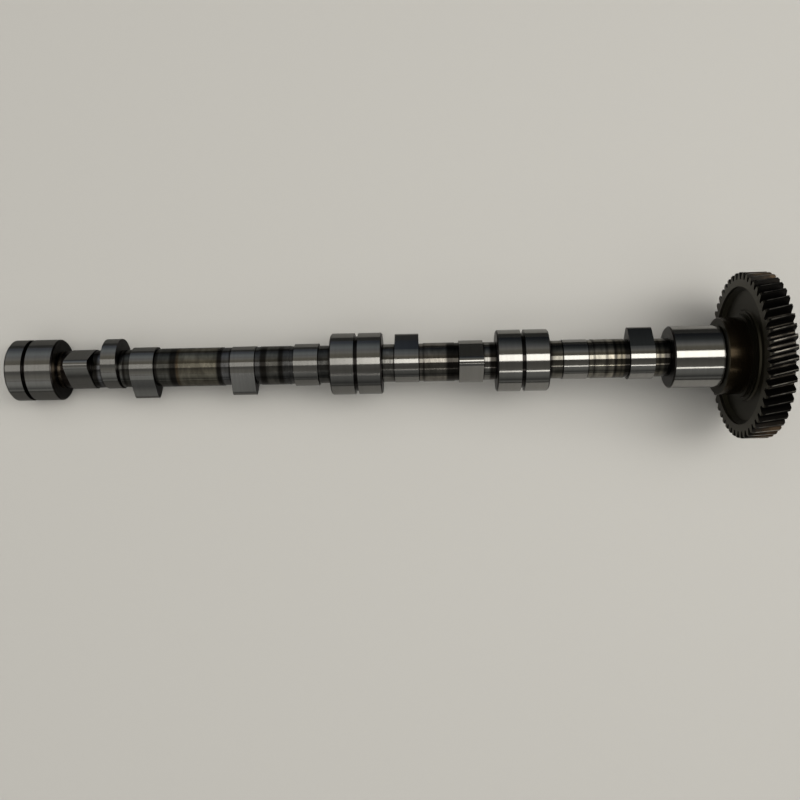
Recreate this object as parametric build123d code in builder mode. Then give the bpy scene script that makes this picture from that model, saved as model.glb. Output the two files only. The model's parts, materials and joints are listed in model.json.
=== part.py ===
from build123d import *
from math import acos, atan, cos, degrees, pi, radians, sin, tan
import os

# Camshaft of a four-cylinder engine with its helical timing gear, lying on its rear journal and its gear

os.makedirs("parts", exist_ok=True)

# Sizes in millimetres, angles in degrees. Stations run along the shaft from its rear end.
journal_radius = 25.0
rear_journal_width = 39.0
middle_journal_width = 41.5
front_journal_width = 39.6
front_journal_start = 533.6
journal_chamfer = 1.0
rear_end_chamfer = 1.6

oil_groove_width = 3.2
oil_groove_depth = 2.6
rear_groove_middle = 15.8

journal_pitch = 133.5
second_journal_middle = 282.9

neck_radius = 15.4
span_radius = 15.8
span_relief = 3.6
long_span_end = 173.4

# Cams: the turn is measured about the shaft from level, and each cylinder follows by a quarter turn.
cam_width = 19.3
flank_radius = 130.0
exhaust_middles = {"fourth": 58.0, "third": 190.9, "second": 323.5, "first": 458.4}
exhaust_base_radius = 16.0
exhaust_lift = 7.9
exhaust_nose_radius = 5.2
exhaust_turn = 263.5
inlet_middles = {"fourth": 109.1, "third": 242.2, "second": 375.2, "first": 510.9}
inlet_base_radius = 17.1
inlet_lift = 7.7
inlet_nose_radius = 5.0
inlet_turn = 4.0
quarter_turns = {"first": 0, "second": 1, "third": 3, "fourth": 2}

pump_cam_radius = 20.4
pump_cam_throw = 4.1
pump_cam_width = 12.2
pump_cam_middle = 83.6
pump_cam_turn = 12.0

# Front end: the shaft's seat for the gear, its key and the centres that it was turned on
gear_seat_radius = 20.0
nose_length = 1.5
nose_chamfer = 1.0
centre_drill_radius = 2.0
centre_drill_depth = 11.0
centre_cone_radius = 5.0
centre_cone_depth = 5.0

key_width = 8.0
key_height = 7.0
key_length = 22.0
key_depth_in_shaft = 4.0
key_margin = 6.0
key_top_clearance = 0.3

# Gear
tooth_count = 50
normal_module = 2.5
pressure_angle = 20.0
helix_angle = 13.0
helix_steps = 2
gear_face_width = 21.0
tooth_end_chamfer = 0.9
hub_length = 16.7
hub_radius = 31.0
hub_chamfer = 0.6
step_radius = 33.5
step_length = 2.6
boss_radius = 36.0
rear_recess_depth = 5.2
front_recess_depth = 4.6
front_boss_radius = 34.0
rim_inner_radius = 55.5
web_slope_depth = 2.6
web_slope_width = 3.4
boss_foot = 1.2

# Gear blank worked out from the module
transverse_angle = atan(tan(radians(pressure_angle)) / cos(radians(helix_angle)))
reference_radius = tooth_count * normal_module / cos(radians(helix_angle)) / 2
tip_radius = reference_radius + normal_module
root_radius = reference_radius - 1.25 * normal_module
base_radius = reference_radius * cos(transverse_angle)
tooth_pitch = 360 / tooth_count
helix_turn = degrees(gear_face_width * tan(radians(helix_angle)) / reference_radius)


def involute(radius):
    """Angle, in radians, through which the involute has turned where it reaches a radius."""
    slope = tan(acos(base_radius / radius))
    return slope - atan(slope)


def half_tooth(radius):
    """Half of a tooth's width at a radius, as an angle in degrees."""
    return degrees(pi / (2 * tooth_count) + involute(reference_radius) - involute(radius))


# Stations
gear_seat_start = front_journal_start + front_journal_width
gear_start = gear_seat_start + hub_length
gear_end = gear_start + gear_face_width
shaft_end = gear_end + nose_length
third_journal_middle = second_journal_middle + journal_pitch

# The shaft lies on the rear journal's edge and on the inner ends of the two lowest teeth.
lowest_tooth_turn = tooth_pitch / 2 - half_tooth(tip_radius)
gear_rest_radius = tip_radius * cos(radians(lowest_tooth_turn))
gear_rest_station = gear_start + tooth_end_chamfer
rest_angle = atan((gear_rest_radius - journal_radius) / (gear_rest_station - rear_end_chamfer))
rear_end_height = journal_radius * cos(rest_angle) - rear_end_chamfer * sin(rest_angle)
left_reach = (journal_radius - rear_end_chamfer) * sin(rest_angle)
right_reach = gear_end * cos(rest_angle) + (tip_radius - tooth_end_chamfer) * sin(rest_angle)

# The shaft's line rises to the gear; each station plane has the floor's Y across and turns count from it.
shaft_line = Plane(
    origin=((left_reach - right_reach) / 2, 0, rear_end_height),
    x_dir=(0, 1, 0),
    z_dir=(cos(rest_angle), 0, sin(rest_angle)),
)
shaft_axis = Axis(shaft_line.origin, shaft_line.z_dir)


def station(distance, turn=0.0):
    """Plane across the shaft at a distance from its rear end, turned about the shaft."""
    heading = shaft_line.x_dir * cos(radians(turn)) + shaft_line.y_dir * sin(radians(turn))
    return Plane(origin=shaft_line.offset(distance).origin, x_dir=heading, z_dir=shaft_line.z_dir)


def disc(start, end, radius):
    """Plain cylinder between two stations, added to the part being built."""
    with BuildSketch(station(start)) as section:
        Circle(radius)
    extrude(section.sketch, amount=end - start)


def ring_cut(start, end, outer, inner):
    """Ring turned away between two stations."""
    with BuildSketch(station(start)) as section:
        Circle(outer)
        Circle(inner, mode=Mode.SUBTRACT)
    extrude(section.sketch, amount=end - start, mode=Mode.SUBTRACT)


def bore_cut(start, end, radius):
    """Round hole along the shaft's line between two stations."""
    with BuildSketch(station(start)) as section:
        Circle(radius)
    extrude(section.sketch, amount=end - start, mode=Mode.SUBTRACT)


def rims(radius, first, last):
    """Round edges of one radius that lie between two stations."""
    return (
        edges()
        .filter_by(GeomType.CIRCLE)
        .filter_by(lambda edge: abs(edge.radius - radius) < 0.01)
        .filter_by(lambda edge: first - 0.1 < shaft_line.to_local_coords(edge.arc_center).Z < last + 0.1)
    )


def valve_cam(middle, turn, base, lift, nose):
    """Valve cam: a base circle and a nose circle joined by two slightly bulging flanks."""
    nose_middle = base + lift - nose
    base_reach = flank_radius - base
    nose_reach = flank_radius - nose
    flank_x = (nose_middle**2 - nose_reach**2 + base_reach**2) / (2 * nose_middle)
    flank = Vector(flank_x, -((base_reach**2 - flank_x**2) ** 0.5))
    nose_point = Vector(nose_middle, 0)
    flank_start = -flank * (base / base_reach)
    flank_end = nose_point + (nose_point - flank) * (nose / nose_reach)
    flank_top = flank + ((flank_start + flank_end) / 2 - flank).normalized() * flank_radius
    heel = Vector(-base, 0)
    shoulder = (heel + flank_start).normalized() * base
    with BuildPart() as one_cam:
        with BuildSketch(station(middle - cam_width / 2, turn)):
            with BuildLine():
                ThreePointArc(heel, shoulder, flank_start)
                ThreePointArc(flank_start, flank_top, flank_end)
                ThreePointArc(flank_end, (base + lift, 0), (flank_end.X, -flank_end.Y))
                ThreePointArc((flank_end.X, -flank_end.Y), (flank_top.X, -flank_top.Y), (flank_start.X, -flank_start.Y))
                ThreePointArc((flank_start.X, -flank_start.Y), (shoulder.X, -shoulder.Y), heel)
            make_face()
        extrude(amount=cam_width)
    return one_cam.part


exhaust_cams = [
    valve_cam(
        exhaust_middles[cylinder],
        exhaust_turn + 90 * quarters,
        exhaust_base_radius,
        exhaust_lift,
        exhaust_nose_radius,
    )
    for cylinder, quarters in quarter_turns.items()
]
inlet_cams = [
    valve_cam(
        inlet_middles[cylinder],
        inlet_turn + 90 * quarters,
        inlet_base_radius,
        inlet_lift,
        inlet_nose_radius,
    )
    for cylinder, quarters in quarter_turns.items()
]

# Camshaft: one forging with its journals, cams and gear seat ground
journal_spans = [
    (0, rear_journal_width),
    (second_journal_middle - middle_journal_width / 2, second_journal_middle + middle_journal_width / 2),
    (third_journal_middle - middle_journal_width / 2, third_journal_middle + middle_journal_width / 2),
    (front_journal_start, gear_seat_start),
]
oil_grooves = [rear_groove_middle, second_journal_middle, third_journal_middle]
cam_gap = cam_width / 2 + span_relief
plain_spans = [(inlet_middles["fourth"] + cam_gap, long_span_end)] + [
    (exhaust_middles[cylinder] + cam_gap, inlet_middles[cylinder] - cam_gap)
    for cylinder in ("third", "second", "first")
]
groove_floor_radius = journal_radius - oil_groove_depth
key_start = gear_seat_start + key_margin
key_bottom = gear_seat_radius - key_depth_in_shaft

with BuildPart() as camshaft:
    disc(0, gear_seat_start, neck_radius)
    for start, end in journal_spans:
        disc(start, end, journal_radius)
    for start, end in plain_spans:
        disc(start, end, span_radius)
    disc(gear_seat_start, shaft_end, gear_seat_radius)
    chamfer(rims(journal_radius, 0, 0), rear_end_chamfer)
    chamfer(rims(journal_radius, rear_journal_width, gear_seat_start), journal_chamfer)
    chamfer(rims(gear_seat_radius, shaft_end, shaft_end), nose_chamfer)
    for middle in oil_grooves:
        groove_start = middle - oil_groove_width / 2
        ring_cut(groove_start, groove_start + oil_groove_width, journal_radius + 1, groove_floor_radius)
    add(exhaust_cams)
    add(inlet_cams)
    with BuildSketch(station(pump_cam_middle - pump_cam_width / 2, pump_cam_turn)) as pump_section:
        with Locations((pump_cam_throw, 0)):
            Circle(pump_cam_radius)
    extrude(pump_section.sketch, amount=pump_cam_width)
    # Keyway, milled in from the shaft's top
    with BuildSketch(station(key_start)) as keyway_section:
        with Locations((0, key_bottom + key_height / 2)):
            Rectangle(key_width, key_height)
    extrude(keyway_section.sketch, amount=key_length, mode=Mode.SUBTRACT)
    # Centres in both ends
    for end_plane in (station(0), -station(shaft_end)):
        with BuildSketch(end_plane) as cone_section:
            Circle(centre_cone_radius)
        extrude(cone_section.sketch, amount=centre_cone_depth, taper=30, mode=Mode.SUBTRACT)
        with BuildSketch(end_plane) as drill_section:
            Circle(centre_drill_radius)
        extrude(drill_section.sketch, amount=centre_drill_depth, mode=Mode.SUBTRACT)

# Timing gear: helical teeth round a blank with a recessed web and a long rear hub
root_half = half_tooth(root_radius)
reference_half = half_tooth(reference_radius)
tip_half = half_tooth(tip_radius)


def tooth_point(radius, angle):
    """Point of the gear's section at a radius and an angle in degrees."""
    return Vector(radius * cos(radians(angle)), radius * sin(radians(angle)))


def gear_section(plane):
    """Section across the gear, with each flank drawn through its root, middle and tip."""
    with BuildSketch(plane) as section:
        with BuildLine():
            for tooth in range(tooth_count):
                middle = tooth * tooth_pitch
                rising = [
                    tooth_point(root_radius, middle - root_half),
                    tooth_point(reference_radius, middle - reference_half),
                    tooth_point(tip_radius, middle - tip_half),
                ]
                falling = [
                    tooth_point(tip_radius, middle + tip_half),
                    tooth_point(reference_radius, middle + reference_half),
                    tooth_point(root_radius, middle + root_half),
                ]
                Polyline(*rising)
                Line(rising[-1], falling[0])
                Polyline(*falling)
                Line(falling[-1], tooth_point(root_radius, middle + tooth_pitch - root_half))
        make_face()
    return section.sketch


# The two lowest teeth straddle the bottom of the rear face.
rear_turn = 270 + tooth_pitch / 2


def helix_section(share):
    """The gear's section part of the way across its face, turned back along the left-hand helix."""
    return gear_section(station(gear_start + share * gear_face_width, rear_turn - share * helix_turn))


rear_web = gear_start + rear_recess_depth
front_web = gear_end - front_recess_depth
tooth_corner = tip_radius + normal_module

with BuildPart() as cam_gear:
    loft([helix_section(step / helix_steps) for step in range(helix_steps + 1)], ruled=True)
    # Tooth ends relieved at both faces
    for face_station, inward in ((gear_start, 1), (gear_end, -1)):
        with BuildSketch(Plane(shaft_line.origin, x_dir=shaft_line.z_dir, z_dir=-shaft_line.x_dir)) as relief_section:
            with BuildLine():
                Polyline(
                    (face_station - inward * normal_module, tip_radius - tooth_end_chamfer - normal_module),
                    (face_station + inward * (tooth_end_chamfer + normal_module), tooth_corner),
                    (face_station - inward * normal_module, tooth_corner),
                    close=True,
                )
            make_face()
        revolve(relief_section.sketch, axis=shaft_axis, mode=Mode.SUBTRACT)
    # Recesses either side of the web, and the hub with its two steps at the rear
    ring_cut(gear_start, rear_web, rim_inner_radius, boss_radius)
    ring_cut(front_web, gear_end, rim_inner_radius, front_boss_radius)
    ring_cut(gear_start, gear_start + step_length, boss_radius, step_radius)
    chamfer(rims(rim_inner_radius, rear_web, front_web), web_slope_depth, web_slope_width)
    chamfer(rims(boss_radius, rear_web, rear_web) + rims(front_boss_radius, front_web, front_web), boss_foot)
    disc(gear_seat_start, gear_start, hub_radius)
    chamfer(rims(hub_radius, gear_seat_start, gear_seat_start), hub_chamfer)
    bore_cut(gear_seat_start, gear_end, gear_seat_radius)
    with BuildSketch(station(gear_seat_start)) as keyway_section:
        with Locations((0, key_bottom + (key_height + key_top_clearance) / 2)):
            Rectangle(key_width, key_height + key_top_clearance)
    extrude(keyway_section.sketch, amount=gear_end - gear_seat_start, mode=Mode.SUBTRACT)

with BuildPart() as gear_key:
    with BuildSketch(station(key_start)) as key_section:
        with Locations((0, key_bottom + key_height / 2)):
            Rectangle(key_width, key_height)
    extrude(key_section.sketch, amount=key_length)

camshaft.part.label = "camshaft"
cam_gear.part.label = "cam_gear"
gear_key.part.label = "gear_key"
for piece in (camshaft.part, cam_gear.part, gear_key.part):
    export_step(piece, f"parts/{piece.label}.step")
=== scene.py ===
import json
import math
import bpy
from mathutils import Matrix, Vector


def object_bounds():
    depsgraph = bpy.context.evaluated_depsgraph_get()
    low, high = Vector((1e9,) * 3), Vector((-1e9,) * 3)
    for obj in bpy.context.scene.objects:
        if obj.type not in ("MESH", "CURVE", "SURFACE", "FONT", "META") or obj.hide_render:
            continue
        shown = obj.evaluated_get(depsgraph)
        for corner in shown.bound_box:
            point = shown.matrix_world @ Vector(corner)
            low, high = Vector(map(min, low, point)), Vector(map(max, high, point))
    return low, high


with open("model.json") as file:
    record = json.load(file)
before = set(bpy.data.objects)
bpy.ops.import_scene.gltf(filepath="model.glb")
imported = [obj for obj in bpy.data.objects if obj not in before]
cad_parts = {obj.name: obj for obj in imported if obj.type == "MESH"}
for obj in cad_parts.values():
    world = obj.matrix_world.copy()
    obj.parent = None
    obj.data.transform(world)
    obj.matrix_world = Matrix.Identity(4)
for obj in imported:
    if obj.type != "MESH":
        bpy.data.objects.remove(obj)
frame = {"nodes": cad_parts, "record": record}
cadLow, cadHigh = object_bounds()
nodes = frame["nodes"]
mounts = {mount["name"]: mount for mount in frame["record"]["mounts"]}

# Where the shaft lies, in metres: every station is counted along it from the flat rear end
landMiddle = 0.0277
shaftAxis = -Vector(mounts["rear_journal"]["axis"]).normalized()
rearEnd = Vector(mounts["rear_journal"]["pos_m"]) - shaftAxis * landMiddle
acrossShaft = Vector((0, 1, 0))
aboveShaft = shaftAxis.cross(acrossShaft).normalized()

camshaft = {
    "journals": ((0.0, 0.0390), (0.2621, 0.3036), (0.3956, 0.4372), (0.5336, 0.5732)),
    "grooves": ((0.0142, 0.0174), (0.2813, 0.2845), (0.4148, 0.4180)),
    "cams": (0.0580, 0.1091, 0.1909, 0.2422, 0.3235, 0.3752, 0.4584, 0.5109),
    "camWidth": 0.0193,
    "pumpCam": (0.0775, 0.0897),
    "groundColor": (0.43, 0.425, 0.41),
    "groundRoughness": 0.14,
    "grindingStretch": 0.85,
    "coreRoughness": 0.125,
    "unevenness": 0.00007,
    # Painted shade in the crease beside each ground surface: its width and colour
    "creaseShadeWidth": 0.0007,
    "creaseShadeColor": (0.012, 0.011, 0.010),
    "oilBlack": (0.042, 0.039, 0.035),
    # Heat and oil stains on the plain bars: start, end and colour
    "stains": (
        (0.0390, 0.0480, (0.032, 0.025, 0.021)),
        (0.0408, 0.0421, (0.6, 0.5, 0.38)),
        (0.0728, 0.0752, (0.22, 0.225, 0.24)),
        (0.0906, 0.0928, (0.26, 0.26, 0.25)),
        (0.0950, 0.0990, (0.12, 0.12, 0.11)),
        (0.1215, 0.1315, (0.15, 0.148, 0.135)),
        (0.1375, 0.1700, (0.29, 0.27, 0.218)),
        (0.1368, 0.1392, (0.17, 0.13, 0.085)),
        (0.1740, 0.1800, (0.21, 0.21, 0.215)),
        (0.2005, 0.2055, (0.14, 0.14, 0.14)),
        (0.2105, 0.2200, (0.18, 0.175, 0.16)),
        (0.2240, 0.2330, (0.13, 0.13, 0.13)),
        (0.2515, 0.2600, (0.12, 0.12, 0.115)),
        (0.3045, 0.3130, (0.27, 0.265, 0.25)),
        (0.3332, 0.3555, (0.27, 0.255, 0.23)),
        (0.3860, 0.3900, (0.30, 0.295, 0.28)),
        (0.4400, 0.4480, (0.21, 0.2, 0.175)),
        (0.4680, 0.4826, (0.29, 0.275, 0.24)),
        (0.4835, 0.4885, (0.34, 0.315, 0.265)),
        (0.4905, 0.4965, (0.16, 0.145, 0.115)),
        (0.5195, 0.5275, (0.15, 0.14, 0.115)),
    ),
    # Black rings burnt into them: middle and half width
    "rings": (
        (0.1355, 0.0012), (0.1728, 0.0008), (0.2078, 0.0022), (0.2222, 0.0012), (0.3372, 0.0008), (0.3580, 0.0015),
        (0.4728, 0.0007), (0.4820, 0.0005), (0.4892, 0.0006), (0.4940, 0.0006), (0.5240, 0.0008),
    ),
    "stainEdge": 0.0012,
    "ringEdge": 0.0009,
    "ringStrength": (0.9, 0.6),
    # Noises: scale along the shaft and round it, the part of the noise used and what it scales the colour by
    "patches": {"along": 300.0, "round": 1.1, "range": (0.3, 0.7), "strength": (0.76, 1.2)},
    "spots": {"along": 110.0, "round": 1.9, "range": (0.34, 0.66), "strength": (0.84, 1.15)},
    "oil": {"along": 60.0, "round": 2.5, "outward": 260.0, "range": (0.35, 0.65), "strength": (0.6, 1.35)},
    "groundCloud": 0.93,
    "groundCloudRange": (0.3, 0.7),
    "grindingLean": 0.01,
    "grindingFineness": 9000.0,
    "grindingDepth": 0.00002,
    "grindingStrength": 0.08,
    "sideColor": (0.035, 0.032, 0.03),
    "sideFacing": (0.58, 0.68),
    "sideRoughness": 0.16,
}
gear = {
    "oxideColor": (0.078, 0.071, 0.053),
    "webColor": (0.034, 0.030, 0.019),
    "flankColor": (0.010, 0.009, 0.008),
    "brownOxideAndSheenColor": (0.1, 0.066, 0.038),
    "hubColor": (0.032, 0.023, 0.013),
    # Painted glints: light lines along the crests and roots of the teeth
    "crestGlintColor": (0.23, 0.217, 0.19),
    "rootGlintColor": (0.13, 0.115, 0.095),
    "roughness": 0.36,
    "hubRoughness": 0.2,
    "tipRadius": 0.066644,
    "rootRadius": 0.061019,
    "rimRadius": 0.0555,
    "hub": (0.5732, 0.5899),
    "start": 0.5899,
    "sideFacing": (0.6, 0.8),
    "toothCount": 50,
    "gapTurn": -90,
    "leadPerMetre": 3.5992,
    "metallic": 0.9,
    "crestDepth": (0.0006, 0.0003),
    "crestSpread": (0.028, 0.062),
    "crestOffset": 0.04,
    "rootHeight": (0.0002, 0.0006),
    "rootSpread": (0.035, 0.085),
    "flankDepth": (0.0004, 0.0001),
    "rimEdge": 0.0006,
    "glintAndWear": {"along": 90.0, "round": 9.0, "range": (0.35, 0.62), "strength": (0.25, 1.0)},
    "glintAndWearStart": (0.0022, 0.0036),
    "brownSheenSides": (0.8, 0.98),
    "brownSheenStart": (0.004, 0.016),
    "brownSheenStrength": (0.2, 1.0),
    "brownGlint": 3.6,
}
key = {"color": (0.2, 0.2, 0.2), "roughness": 0.4}
room = {
    "floorColor": (0.432, 0.424, 0.402),
    "floorSize": 6.0,
    "floorRoughness": 0.6,
    "floorInMetal": 0.57,
    "floorInMetalRear": 0.17,
    "floorDarkensFrom": 0.13,
    "floorDarkensTo": 0.19,
    "floorDarkest": 0.04,
    "floorRearSpan": (-0.3, 0.25),
    "floorHalfLength": 0.33,
    "floorWidens": 0.28,
    "lampColor": (1.0, 0.985, 0.96),
    "lampAim": (0, 0, 0.05),
    "lamps": (
        ("softTop", (0.0, 0.1, 4.0), (6.0, 6.0), 150),
        ("softKey", (1.1, 0.2, 1.5), (0.9, 1.2), 8),
    ),
    "panelColor": (1.0, 0.97, 0.9),
    # Edges of the panel and of the strip, as leans in degrees
    "panelLeans": (-7.5, -5.0, 16.0, 18.5),
    "stripLeans": (-47.3, -46.0, -43.2, -41.9),
    "stripWidens": 2.2,
    "stripWidensSpan": (0.0, 0.12),
    # Each light or darkening, with the span of the room's length over which it comes in
    "panelFront": 2.75,
    "panelFrontSpan": (-0.09, 0.12),
    "panelMiddle": 2.3,
    "panelMiddleSpan": (-0.16, -0.09),
    "panelRear": 0.42,
    "panelEnd": 0.03,
    "panelEndSpan": (-0.28, -0.36),
    "strip": 2.7,
    "stripSpan": (-0.05, 0.1),
    "stripRear": 0.16,
    "endWalls": 0.25,
    "endWallsSpan": (0.55, 0.85),
    "endGlow": 1.0,
    "endGlowSpan": (0.8, 0.97),
    "rearGlow": 0.02,
    "rearGlowSpan": (0.15, -0.35),
    "sideGlow": 0.042,
    "sideGlowSpan": (0.0, -0.15),
    "sideWallLeans": (40.0, 65.0),
    "sideWallFront": 0.2,
    "sideWallFrontSpan": (-0.12, 0.14),
    "lowerWallLeans": (-15.0, -28.0),
    "lowerWallRear": 1.45,
    "lowerWallMiddle": 0.5,
    "lowerWallMiddleSpan": (-0.27, -0.18),
    "lowerWallFront": 1.08,
    "lowerWallFrontSpan": (-0.03, 0.03),
    "paleColor": (0.6, 0.59, 0.56),
    "paleInMetal": 0.02,
    # Lean from straight up in degrees and the colour of the room there
    "walls": (
        (-96, (0.16, 0.16, 0.15)), (-86, (0.12, 0.12, 0.11)), (-80, (0.03, 0.03, 0.03)),
        (-75, (0.08, 0.08, 0.075)), (-64, (0.15, 0.15, 0.14)), (-48, (0.17, 0.17, 0.165)),
        (-34, (0.12, 0.115, 0.10)), (-14, (0.085, 0.082, 0.075)), (20, (0.13, 0.12, 0.095)),
        (32, (0.15, 0.14, 0.115)), (39, (0.2, 0.195, 0.18)), (48, (0.15, 0.15, 0.15)),
        (60, (0.145, 0.16, 0.165)), (72, (0.072, 0.085, 0.093)), (82, (0.018, 0.026, 0.042)),
        (106, (0.012, 0.018, 0.028)),
    ),
}


def newGroup(name, inputs, outputs):
    group = bpy.data.node_groups.new(name, "ShaderNodeTree")
    for title, kind, value in inputs:
        socket = group.interface.new_socket(name=title, in_out="INPUT", socket_type=kind)
        if value is not None:
            socket.default_value = value
    for title, kind in outputs:
        group.interface.new_socket(name=title, in_out="OUTPUT", socket_type=kind)
    return group, group.nodes.new("NodeGroupInput"), group.nodes.new("NodeGroupOutput")


class Wiring:
    # Adds nodes to one tree and joins them up
    def __init__(self, tree):
        self.tree = tree

    def feed(self, socket, value):
        if isinstance(value, bpy.types.NodeSocket):
            self.tree.links.new(value, socket)
        elif value is not None:
            socket.default_value = value

    def math(self, operation, first, second=None, clamp=False):
        node = self.tree.nodes.new("ShaderNodeMath")
        node.operation = operation
        node.use_clamp = clamp
        for socket, value in zip(node.inputs, (first, second)):
            self.feed(socket, value)
        return node.outputs[0]

    def vector(self, operation, first, second=None):
        node = self.tree.nodes.new("ShaderNodeVectorMath")
        node.operation = operation
        self.feed(node.inputs[0], first)
        self.feed(node.inputs["Scale" if operation == "SCALE" else 1], second)
        return node.outputs["Value" if operation in ("DOT_PRODUCT", "LENGTH") else "Vector"]

    def joined(self, x, y, z):
        node = self.tree.nodes.new("ShaderNodeCombineXYZ")
        for socket, value in zip(node.inputs, (x, y, z)):
            self.feed(socket, value)
        return node.outputs[0]

    def mapped(self, value, fromLow, fromHigh, toLow=0.0, toHigh=1.0):
        node = self.tree.nodes.new("ShaderNodeMapRange")
        node.interpolation_type = "SMOOTHSTEP"
        for socket, given in zip(node.inputs, (value, fromLow, fromHigh, toLow, toHigh)):
            self.feed(socket, given)
        return node.outputs[0]

    def noise(self, place, scale, detail=2.0, roughness=0.5):
        node = self.tree.nodes.new("ShaderNodeTexNoise")
        self.feed(node.inputs["Vector"], place)
        self.feed(node.inputs["Scale"], scale)
        self.feed(node.inputs["Detail"], detail)
        self.feed(node.inputs["Roughness"], roughness)
        return node.outputs["Fac"]

    def times(self, first, *others):
        for other in others:
            first = self.math("MULTIPLY", first, other)
        return first

    def mixed(self, share, first, second):
        node = self.tree.nodes.new("ShaderNodeMix")
        node.data_type = "RGBA"
        self.feed(node.inputs[0], share)
        for socket, value in ((node.inputs[6], first), (node.inputs[7], second)):
            self.feed(socket, (*value, 1.0) if isinstance(value, tuple) and len(value) == 3 else value)
        return node.outputs[2]

    def mixedValue(self, share, first, second):
        node = self.tree.nodes.new("ShaderNodeMix")
        for socket, value in zip(node.inputs, (share, None, first, second)):
            self.feed(socket, value)
        return node.outputs[0]

    def ramp(self, value, stops):
        node = self.tree.nodes.new("ShaderNodeValToRGB")
        self.feed(node.inputs[0], value)
        points = node.color_ramp.elements
        while len(points) < len(stops):
            points.new(0.5)
        for point, (place, color) in zip(points, stops):
            point.position = place
            point.color = (*color, 1.0)
        return node.outputs[0]

    def group(self, group, **values):
        node = self.tree.nodes.new("ShaderNodeGroup")
        node.node_tree = group
        for title, value in values.items():
            self.feed(node.inputs[title], value)
        return node.outputs


def shaftPlaceGroup():
    # Splits an object place into its station along the shaft, its turn about it and its radius. Facing is 1 on a
    # face square to the shaft and 0 on one that runs along it.
    group, _, result = newGroup(
        "shaftPlace", [], [("Along", "NodeSocketFloat"), ("Turn", "NodeSocketFloat"), ("Radius", "NodeSocketFloat"),
                           ("Facing", "NodeSocketFloat"), ("Rings", "NodeSocketVector")])
    w = Wiring(group)
    place = w.vector("SUBTRACT", group.nodes.new("ShaderNodeTexCoord").outputs["Object"], tuple(rearEnd))
    normal = group.nodes.new("ShaderNodeNewGeometry").outputs["Normal"]
    along = w.vector("DOT_PRODUCT", place, tuple(shaftAxis))
    across = w.vector("DOT_PRODUCT", place, tuple(acrossShaft))
    above = w.vector("DOT_PRODUCT", place, tuple(aboveShaft))
    turn = w.math("ARCTAN2", above, across)
    radius = w.math("SQRT", w.math("ADD", w.times(across, across), w.times(above, above)))
    facing = w.math("ABSOLUTE", w.vector("DOT_PRODUCT", normal, tuple(shaftAxis)))
    for title, value in (("Along", along), ("Turn", turn), ("Radius", radius), ("Facing", facing)):
        w.feed(result.inputs[title], value)
    # Place squeezed round the shaft, so that a noise on it draws rings
    squeeze = 0.03
    w.feed(result.inputs["Rings"], w.joined(along, w.times(across, squeeze), w.times(above, squeeze)))
    return group


def bandGroup():
    # 1 between two stations, 0 outside them, with a soft edge
    group, source, result = newGroup(
        "band", [("Along", "NodeSocketFloat", 0.0), ("Start", "NodeSocketFloat", 0.0),
                 ("End", "NodeSocketFloat", 1.0), ("Edge", "NodeSocketFloat", 0.0002)],
        [("Mask", "NodeSocketFloat")])
    w = Wiring(group)
    give = source.outputs

    def past(station):
        edge = give["Edge"]
        return w.mapped(give["Along"], w.math("SUBTRACT", give[station], edge), w.math("ADD", give[station], edge))

    w.feed(result.inputs["Mask"], w.math("SUBTRACT", past("Start"), past("End")))
    return group


def grindingGroup():
    # Fine rings left by grinding: their height, and a slower cloudiness along them
    group, source, result = newGroup(
        "grinding", [("Rings", "NodeSocketVector", None), ("Fineness", "NodeSocketFloat", 9000.0)],
        [("Height", "NodeSocketFloat"), ("Cloud", "NodeSocketFloat")])
    w = Wiring(group)
    give = source.outputs
    cloudShare = 0.06
    fine = w.noise(give["Rings"], give["Fineness"], 3.0, 0.6)
    broad = w.noise(give["Rings"], w.times(give["Fineness"], cloudShare), 3.0, 0.6)
    w.feed(result.inputs["Height"], fine)
    w.feed(result.inputs["Cloud"], broad)
    return group


def newMaterial(name, roughness, metallic=1.0):
    material = bpy.data.materials.new(name)
    material.use_nodes = True
    shader = material.node_tree.nodes["Principled BSDF"]
    shader.inputs["Roughness"].default_value = roughness
    shader.inputs["Metallic"].default_value = metallic
    return material, Wiring(material.node_tree), shader


placeGroup, bandMask, grinding = shaftPlaceGroup(), bandGroup(), grindingGroup()


def anyBand(w, along, spans, edge=0.0002):
    total = None
    for start, end in spans:
        mask = w.group(bandMask, Along=along, Start=start, End=end, Edge=edge)["Mask"]
        total = mask if total is None else w.math("ADD", total, mask, clamp=True)
    return total


def streaks(w, place, look, shift=0.0, detail=3.0, roughness=0.6):
    # Noise drawn out round the shaft
    spread = w.joined(w.times(place["Along"], look["along"]), w.times(place["Turn"], look["round"]), shift)
    return w.noise(spread, 1.0, detail, roughness)


def strengthOf(w, noise, look):
    return w.mapped(noise, *look["range"], *look["strength"])


def stainedBars(w, place, groundSpans):
    # Colour of the plain bars: stains, mottling, black rings and a painted shade in the crease beside each ground
    # surface
    along, oilBlack = place["Along"], camshaft["oilBlack"]
    core = oilBlack
    for start, end, color in camshaft["stains"]:
        stain = w.group(bandMask, Along=along, Start=start, End=end, Edge=camshaft["stainEdge"])["Mask"]
        core = w.mixed(stain, core, color)
    patches = streaks(w, place, camshaft["patches"])
    core = w.vector("SCALE", core, strengthOf(w, patches, camshaft["patches"]))
    spots = streaks(w, place, camshaft["spots"], 0.5, 1.5, 0.5)
    core = w.vector("SCALE", core, strengthOf(w, spots, camshaft["spots"]))
    ringSpans = [(middle - half, middle + half) for middle, half in camshaft["rings"]]
    rings = anyBand(w, along, ringSpans, camshaft["ringEdge"])
    ringStrength = w.mapped(patches, *camshaft["patches"]["range"], *camshaft["ringStrength"])
    core = w.mixed(w.times(rings, ringStrength), core, oilBlack)
    # Painted shade: a dark ring in the crease beside each ground surface
    creaseShade = camshaft["creaseShadeWidth"]
    around = anyBand(w, along, [(start - creaseShade, end + creaseShade) for start, end in groundSpans])
    return w.mixed(around, core, camshaft["creaseShadeColor"]), patches


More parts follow.
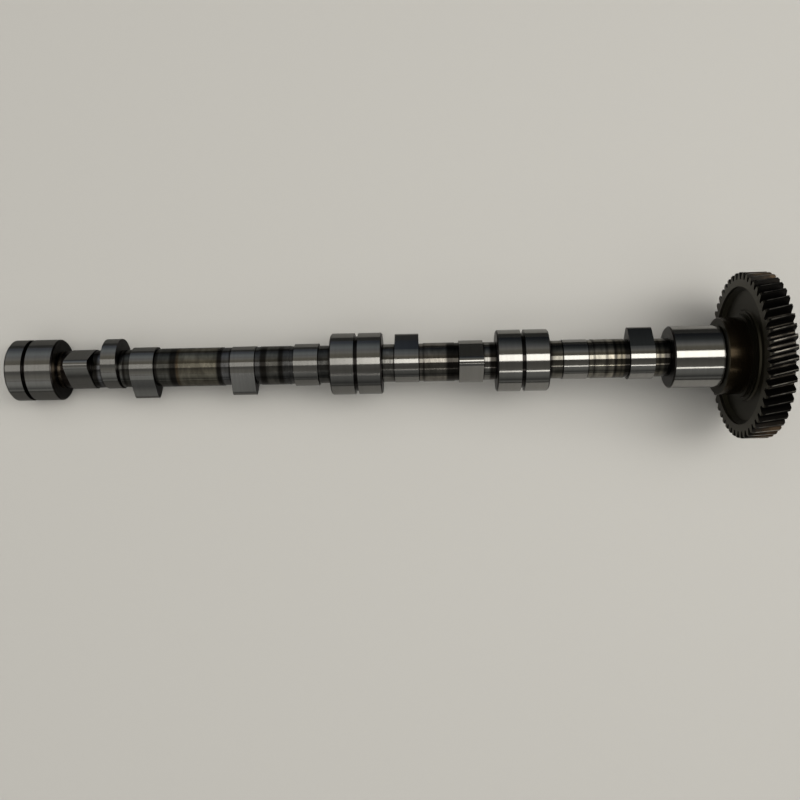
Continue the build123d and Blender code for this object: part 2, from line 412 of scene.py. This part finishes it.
def camshaftSteel():
    material, w, shader = newMaterial("groundSteel", camshaft["groundRoughness"])
    place = w.group(placeGroup)
    along = place["Along"]
    lines = w.group(grinding, Rings=place["Rings"], Fineness=camshaft["grindingFineness"])
    half = camshaft["camWidth"] / 2
    camSpans = [(middle - half, middle + half) for middle in camshaft["cams"]]
    groundSpans = list(camshaft["journals"]) + camSpans + [camshaft["pumpCam"]]
    ground = anyBand(w, along, groundSpans)
    side = w.mapped(place["Facing"], *camshaft["sideFacing"])
    core, patches = stainedBars(w, place, groundSpans)
    dull = tuple(camshaft["groundCloud"] * part for part in camshaft["groundColor"])
    cloud = w.mapped(lines["Cloud"], *camshaft["groundCloudRange"])
    bright = w.mixed(cloud, dull, camshaft["groundColor"])
    color = w.mixed(ground, core, bright)
    # Oil lies in patches on the side faces
    oil = camshaft["oil"]
    oilPlace = w.joined(w.times(place["Radius"], oil["outward"]), w.times(place["Turn"], oil["round"]),
                        w.times(along, oil["along"]))
    oilStrength = strengthOf(w, w.noise(oilPlace, 1.0, 3.0, 0.6), oil)
    color = w.mixed(anyBand(w, along, camshaft["grooves"]), color, camshaft["sideColor"])
    color = w.mixed(side, color, w.vector("SCALE", camshaft["sideColor"], oilStrength))
    w.feed(shader.inputs["Base Color"], color)
    rough = w.mapped(ground, 0.0, 1.0, camshaft["coreRoughness"], camshaft["groundRoughness"])
    w.feed(shader.inputs["Roughness"], w.math("ADD", rough, w.times(side, camshaft["sideRoughness"])))
    # Grinding runs round the shaft, so reflections blur along it
    shader.inputs["Anisotropic"].default_value = camshaft["grindingStretch"]
    w.feed(shader.inputs["Tangent"], w.joined(shaftAxis.x, camshaft["grindingLean"], shaftAxis.z))
    ridges = material.node_tree.nodes.new("ShaderNodeBump")
    ridges.inputs["Strength"].default_value = camshaft["grindingStrength"]
    ridges.inputs["Distance"].default_value = camshaft["grindingDepth"]
    w.feed(ridges.inputs["Height"], lines["Height"])
    # The plain bars are left slightly uneven
    uneven = material.node_tree.nodes.new("ShaderNodeBump")
    uneven.inputs["Distance"].default_value = camshaft["unevenness"]
    w.feed(uneven.inputs["Height"], w.times(patches, w.math("SUBTRACT", 1.0, ground)))
    w.feed(uneven.inputs["Normal"], ridges.outputs[0])
    w.feed(shader.inputs["Normal"], uneven.outputs[0])
    return material


def gearSteel():
    material, w, shader = newMaterial("darkGearSteel", gear["roughness"], gear["metallic"])
    place = w.group(placeGroup)
    turn, radius = place["Turn"], place["Radius"]
    fromRear = w.math("SUBTRACT", place["Along"], gear["start"])
    notFace = w.math("SUBTRACT", 1.0, w.mapped(place["Facing"], *gear["sideFacing"]))
    # Place within one tooth pitch, followed back along the helix: 0 in the middle of a crest
    unwound = w.math("ADD", turn, w.times(fromRear, gear["leadPerMetre"]))
    firstTooth = math.radians(gear["gapTurn"] + 180 / gear["toothCount"])
    toothShare = w.times(w.math("SUBTRACT", unwound, firstTooth), gear["toothCount"] / (2 * math.pi))
    inTooth = w.math("SUBTRACT", w.math("FRACT", w.math("ADD", toothShare, 0.5)), 0.5)
    inGap = w.math("SUBTRACT", 0.5, w.math("ABSOLUTE", inTooth))
    # Wear and the painted glints differ from tooth to tooth and begin a little inside the rear face
    glintAndWear = strengthOf(w, streaks(w, place, gear["glintAndWear"], 0.0, 2.0), gear["glintAndWear"])
    glintAndWear = w.times(glintAndWear, w.mapped(fromRear, *gear["glintAndWearStart"]))
    # Painted glints: a thin light line along one side of each crest and one along the middle of each root
    crestOuter, crestInner = (gear["tipRadius"] - depth for depth in gear["crestDepth"])
    offMiddle = w.math("ABSOLUTE", w.math("ADD", inTooth, gear["crestOffset"]))
    crestGlint = w.times(w.mapped(radius, crestOuter, crestInner), w.mapped(offMiddle, *gear["crestSpread"], 1.0, 0.0))
    rootLow, rootHigh = (gear["rootRadius"] + height for height in gear["rootHeight"])
    rootGlint = w.times(w.mapped(radius, rootLow, rootHigh, 1.0, 0.0), w.mapped(inGap, *gear["rootSpread"], 1.0, 0.0))
    flankLow, flankHigh = (gear["rootRadius"] - depth for depth in gear["flankDepth"])
    teeth = w.times(w.mapped(radius, flankLow, flankHigh), notFace)
    # Brown oxide on the teeth to either side, where they are seen edge-on, with a painted brown sheen there; the
    # crests there get a brighter painted glint
    glintSides = w.mapped(w.math("ABSOLUTE", w.math("COSINE", turn)), *gear["brownSheenSides"])
    brownOxideAndSheen = w.times(glintSides, glintAndWear, w.mapped(fromRear, *gear["brownSheenStart"], *gear["brownSheenStrength"]))
    flank = w.mixed(brownOxideAndSheen, gear["flankColor"], gear["brownOxideAndSheenColor"])
    # Painted glint: the crest lines are brighter on the teeth seen edge-on
    crestGlintTone = w.vector("SCALE", gear["crestGlintColor"], w.mapped(glintSides, 0.0, 1.0, 1.0, gear["brownGlint"]))
    web = w.mapped(radius, gear["rimRadius"] - gear["rimEdge"], gear["rimRadius"], 1.0, 0.0)
    hubStart, hubEnd = gear["hub"]
    hub = w.times(w.group(bandMask, Along=place["Along"], Start=hubStart, End=hubEnd)["Mask"], notFace)
    color = w.mixed(web, gear["oxideColor"], gear["webColor"])
    color = w.mixed(teeth, color, flank)
    # Painted glints on the roots and crests, stronger on some teeth
    color = w.mixed(w.times(rootGlint, teeth, glintAndWear), color, gear["rootGlintColor"])
    color = w.mixed(w.times(crestGlint, notFace, glintAndWear), color, crestGlintTone)
    color = w.mixed(hub, color, gear["hubColor"])
    w.feed(shader.inputs["Base Color"], color)
    w.feed(shader.inputs["Roughness"], w.mapped(hub, 0.0, 1.0, gear["roughness"], gear["hubRoughness"]))
    return material


def keySteel():
    material, w, shader = newMaterial("keySteel", key["roughness"])
    shader.inputs["Base Color"].default_value = (*key["color"], 1.0)
    return material


def dress(name, material):
    piece = nodes[name]
    piece.data.materials.clear()
    piece.data.materials.append(material)


dress("camshaft", camshaftSteel())
dress("cam_gear", gearSteel())
dress("gear_key", keySteel())
print("pieces dressed")


def tablePaint():
    material, w, shader = newMaterial("tablePaint", room["floorRoughness"], 0.0)
    path = material.node_tree.nodes.new("ShaderNodeLightPath")
    parts = material.node_tree.nodes.new("ShaderNodeSeparateXYZ")
    w.feed(parts.inputs[0], material.node_tree.nodes.new("ShaderNodeTexCoord").outputs["Object"])
    alongFloor, acrossFloor = parts.outputs[0], parts.outputs[1]
    # Painted shade in the reflections: in the metal the table is darker, most of all at the rear and away from the
    # part
    pastEnd = w.math("SUBTRACT", w.math("ABSOLUTE", alongFloor), room["floorHalfLength"])
    sideways = w.math("MAXIMUM", acrossFloor, w.times(acrossFloor, -room["floorWidens"]))
    away = w.vector("LENGTH", w.joined(w.math("MAXIMUM", pastEnd, 0.0), sideways, 0.0))
    near = w.mapped(alongFloor, *room["floorRearSpan"], room["floorInMetalRear"], room["floorInMetal"])
    reflected = w.mapped(away, room["floorDarkensFrom"], room["floorDarkensTo"], near, room["floorDarkest"])
    tint = w.mixedValue(path.outputs["Is Glossy Ray"], 1.0, reflected)
    w.feed(shader.inputs["Base Color"], w.vector("SCALE", room["floorColor"], tint))
    return material


# Table top that the part lies on
bpy.ops.mesh.primitive_plane_add(size=room["floorSize"], location=(0, 0, cadLow.z))
table = bpy.context.object
table.name = "tableTop"
table.data.materials.append(tablePaint())

# Camera above the part, square to the shaft but for a small lean, in the shaft's own directions
camera = {
    "lens": 38.25,
    "sensor": 36.0,
    "clipStart": 0.01,
    "stand": (0.34203, -0.05145, 0.69287),
    "roll": 1.7,
    "lean": 2.05,
    "level": -1.10,
}


def cameraTurn():
    tilt, level, roll = math.radians(camera["lean"]), math.radians(camera["level"]), math.radians(camera["roll"])
    # Three directions as the camera sees them, in its right, down and forward: along the shaft, up and near
    shaftSeen = Vector((math.cos(tilt) * math.cos(level), math.cos(tilt) * math.sin(level), -math.sin(tilt)))
    upSeen = Vector((0, -1, 0))
    upSeen = (upSeen - shaftSeen * upSeen.dot(shaftSeen)).normalized()
    nearSeen = shaftSeen.cross(upSeen)
    # The same three as they stand in the frame, rolled about the shaft
    upReal = acrossShaft * math.cos(roll) + aboveShaft * math.sin(roll)
    nearReal = shaftAxis.cross(upReal)
    seen = Matrix((shaftSeen, upSeen, nearSeen)).transposed()
    real = Matrix((shaftAxis, upReal, nearReal)).transposed()
    return real @ seen.transposed()


turn = cameraTurn()
right, down, forward = turn.col[0], turn.col[1], turn.col[2]
eyeData = bpy.data.cameras.new("overhead")
eyeData.sensor_width = camera["sensor"]
eyeData.lens = camera["lens"]
eyeData.clip_start = camera["clipStart"]
eye = bpy.data.objects.new("overhead", eyeData)
stand = rearEnd + shaftAxis * camera["stand"][0] + acrossShaft * camera["stand"][1] + aboveShaft * camera["stand"][2]
eye.matrix_world = Matrix.Translation(stand) @ Matrix((right, -down, -forward)).transposed().to_4x4()
bpy.context.scene.collection.objects.link(eye)
bpy.context.scene.camera = eye
print("camera placed")


def lamp(name, place, size, power):
    data = bpy.data.lights.new(name, "AREA")
    data.shape = "RECTANGLE"
    data.size, data.size_y = size
    data.energy = power
    data.color = room["lampColor"]
    lampObject = bpy.data.objects.new(name, data)
    lampObject.location = place
    aim = Vector(room["lampAim"]) - Vector(place)
    lampObject.rotation_euler = aim.to_track_quat("-Z", "Y").to_euler()
    bpy.context.scene.collection.objects.link(lampObject)
    return lampObject


# Broad soft light from above and a key from the gear end, both kept out of the reflections
for lightName, place, size, power in room["lamps"]:
    lamp(lightName, place, size, power).visible_glossy = False


def roomWalls(w, lean, alongRoom):
    # Walls by their lean, changed along the room
    stops = [(0.5 + place / 360, color) for place, color in room["walls"]]
    walls = w.ramp(w.math("ADD", w.math("DIVIDE", lean, 360.0), 0.5), stops)
    # Darker at both ends of the room
    alongSize = w.math("ABSOLUTE", alongRoom)
    walls = w.vector("SCALE", walls, w.mapped(alongSize, *room["endWallsSpan"], 1.0, room["endWalls"]))
    # Darker on the +Y side towards the gear
    leftSide = w.mapped(lean, *room["sideWallLeans"])
    leftLight = w.mapped(alongRoom, *room["sideWallFrontSpan"], 1.0, room["sideWallFront"])
    walls = w.vector("SCALE", walls, w.mixedValue(leftSide, 1.0, leftLight))
    # On the -Y side lighter at the rear and darkest over the middle
    lowerSide = w.mapped(lean, *room["lowerWallLeans"])
    middle, front = room["lowerWallMiddle"], room["lowerWallFront"]
    lowerLight = w.mapped(alongRoom, *room["lowerWallMiddleSpan"], room["lowerWallRear"], middle)
    lowerLight = w.math("ADD", lowerLight, w.mapped(alongRoom, *room["lowerWallFrontSpan"], 0.0, front - middle))
    walls = w.vector("SCALE", walls, w.mixedValue(lowerSide, 1.0, lowerLight))
    # A little light behind the rear end and at the far ends
    rearGlow = w.mapped(alongRoom, *room["rearGlowSpan"], 0.0, room["rearGlow"])
    sideGlow = w.times(leftSide, w.mapped(alongRoom, *room["sideGlowSpan"], 0.0, room["sideGlow"]))
    endGlow = w.mapped(alongSize, *room["endGlowSpan"], 0.0, room["endGlow"])
    glow = w.math("ADD", w.math("ADD", rearGlow, sideGlow), endGlow)
    return w.vector("ADD", walls, w.joined(glow, glow, glow))


def lightRoom():
    # Room seen in the metal: a ceiling panel above, a thin strip beside it and dark walls
    world = bpy.data.worlds.new("room")
    bpy.context.scene.world = world
    world.use_nodes = True
    w = Wiring(world.node_tree)
    background = world.node_tree.nodes["Background"]
    direction = w.vector("NORMALIZE", world.node_tree.nodes.new("ShaderNodeTexCoord").outputs["Generated"])
    parts = world.node_tree.nodes.new("ShaderNodeSeparateXYZ")
    w.feed(parts.inputs[0], direction)
    alongRoom, acrossRoom, upRoom = parts.outputs
    # Degrees from straight up, positive towards +Y
    lean = w.times(w.math("ARCTAN2", acrossRoom, upRoom), 180 / math.pi)
    walls = roomWalls(w, lean, alongRoom)
    # The panel is brightest over the gear end and fades in steps towards the rear
    near, nearFull, farFull, far = room["panelLeans"]
    panel = w.times(w.mapped(lean, near, nearFull), w.mapped(lean, farFull, far, 1.0, 0.0))
    middle, front = room["panelMiddle"], room["panelFront"]
    panelLight = w.mapped(alongRoom, *room["panelMiddleSpan"], room["panelRear"], middle)
    panelLight = w.math("ADD", panelLight, w.mapped(alongRoom, *room["panelFrontSpan"], 0.0, front - middle))
    panelLight = w.math("ADD", panelLight, w.mapped(alongRoom, *room["panelEndSpan"], 0.0, room["panelEnd"]))
    # The strip is wider over the middle
    low, lowFull, highFull, high = room["stripLeans"]
    widened = w.math("ADD", lean, w.mapped(alongRoom, *room["stripWidensSpan"], room["stripWidens"], 0.0))
    strip = w.times(w.mapped(widened, low, lowFull), w.mapped(lean, highFull, high, 1.0, 0.0))
    stripLight = w.mapped(alongRoom, *room["stripSpan"], room["stripRear"], room["strip"])
    lit = w.math("ADD", panel, strip, clamp=True)
    light = w.mixed(lit, walls, room["panelColor"])
    strength = w.math("ADD", w.math("SUBTRACT", 1.0, lit), w.times(panel, panelLight))
    strength = w.math("ADD", strength, w.times(strip, stripLight))
    # Pale to the camera and through glass, and faintly so in the metal
    path = world.node_tree.nodes.new("ShaderNodeLightPath")
    seen = w.math("MAXIMUM", path.outputs["Is Camera Ray"], path.outputs["Is Transmission Ray"])
    seen = w.math("MAXIMUM", seen, w.times(path.outputs["Is Glossy Ray"], room["paleInMetal"]))
    w.feed(background.inputs["Color"], w.mixed(seen, light, room["paleColor"]))
    w.feed(background.inputs["Strength"], w.mixedValue(seen, strength, 1.0))


lightRoom()

bpy.context.scene.view_settings.view_transform = "Standard"
print("room lit")
